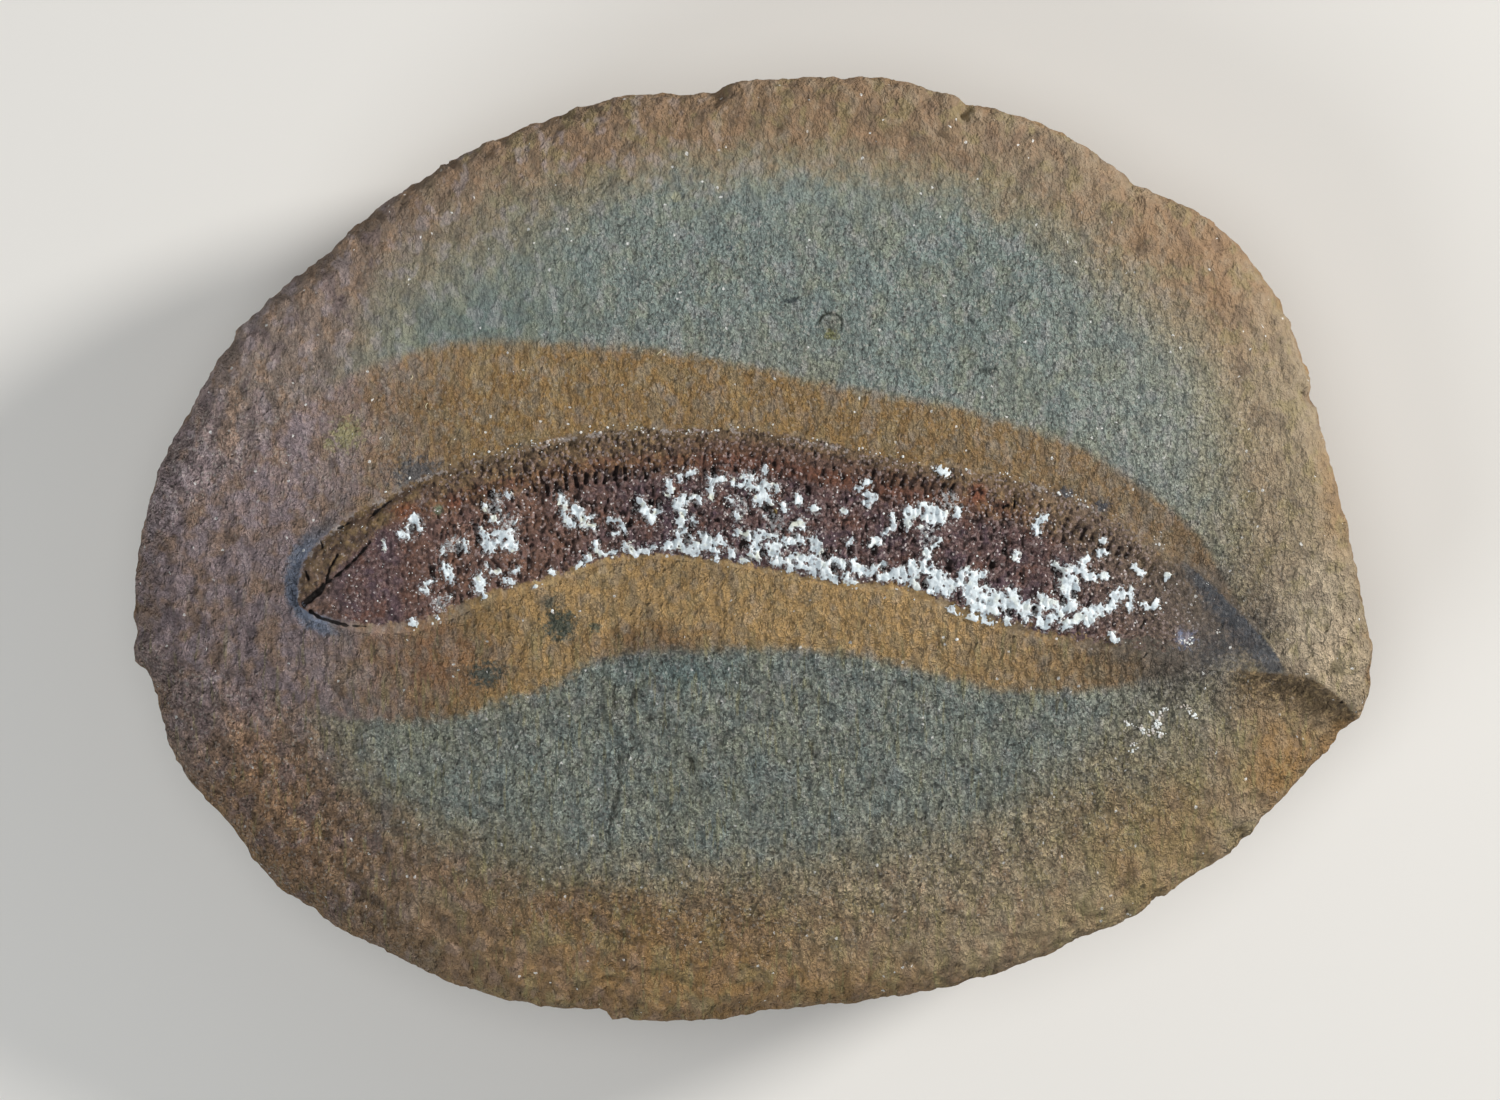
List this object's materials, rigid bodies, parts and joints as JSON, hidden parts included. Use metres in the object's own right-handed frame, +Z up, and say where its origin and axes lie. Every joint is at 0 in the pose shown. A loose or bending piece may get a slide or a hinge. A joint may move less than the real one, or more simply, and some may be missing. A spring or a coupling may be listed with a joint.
{
  "type": "embolomere fossil",
  "caption": "Fossil of a small long-bodied early tetrapod lying in the split face of a lens-shaped ironstone concretion half; rests flat on its underside.",
  "frame": {"origin": "centre of the stone's outline, on the surface that its foot rests on", "axes": "+X along the stone towards the animal's tail and the broken point, +Y towards the animal's back, +Z up out of the split face"},
  "size_m": [0.064, 0.0488, 0.0133],
  "materials": {
    "ironstone": "matt, fine-grained siderite, weathered tan at the edge, grey-green inside",
    "mineralised_body": "matt dark brown mineralised bone and skin",
    "kaolinite_crust": "chalky white mineral crust"
  },
  "bodies": {
    "root": {"concretion_half": "ironstone", "embolomere_body": "mineralised_body"}
  },
  "joints": []
}
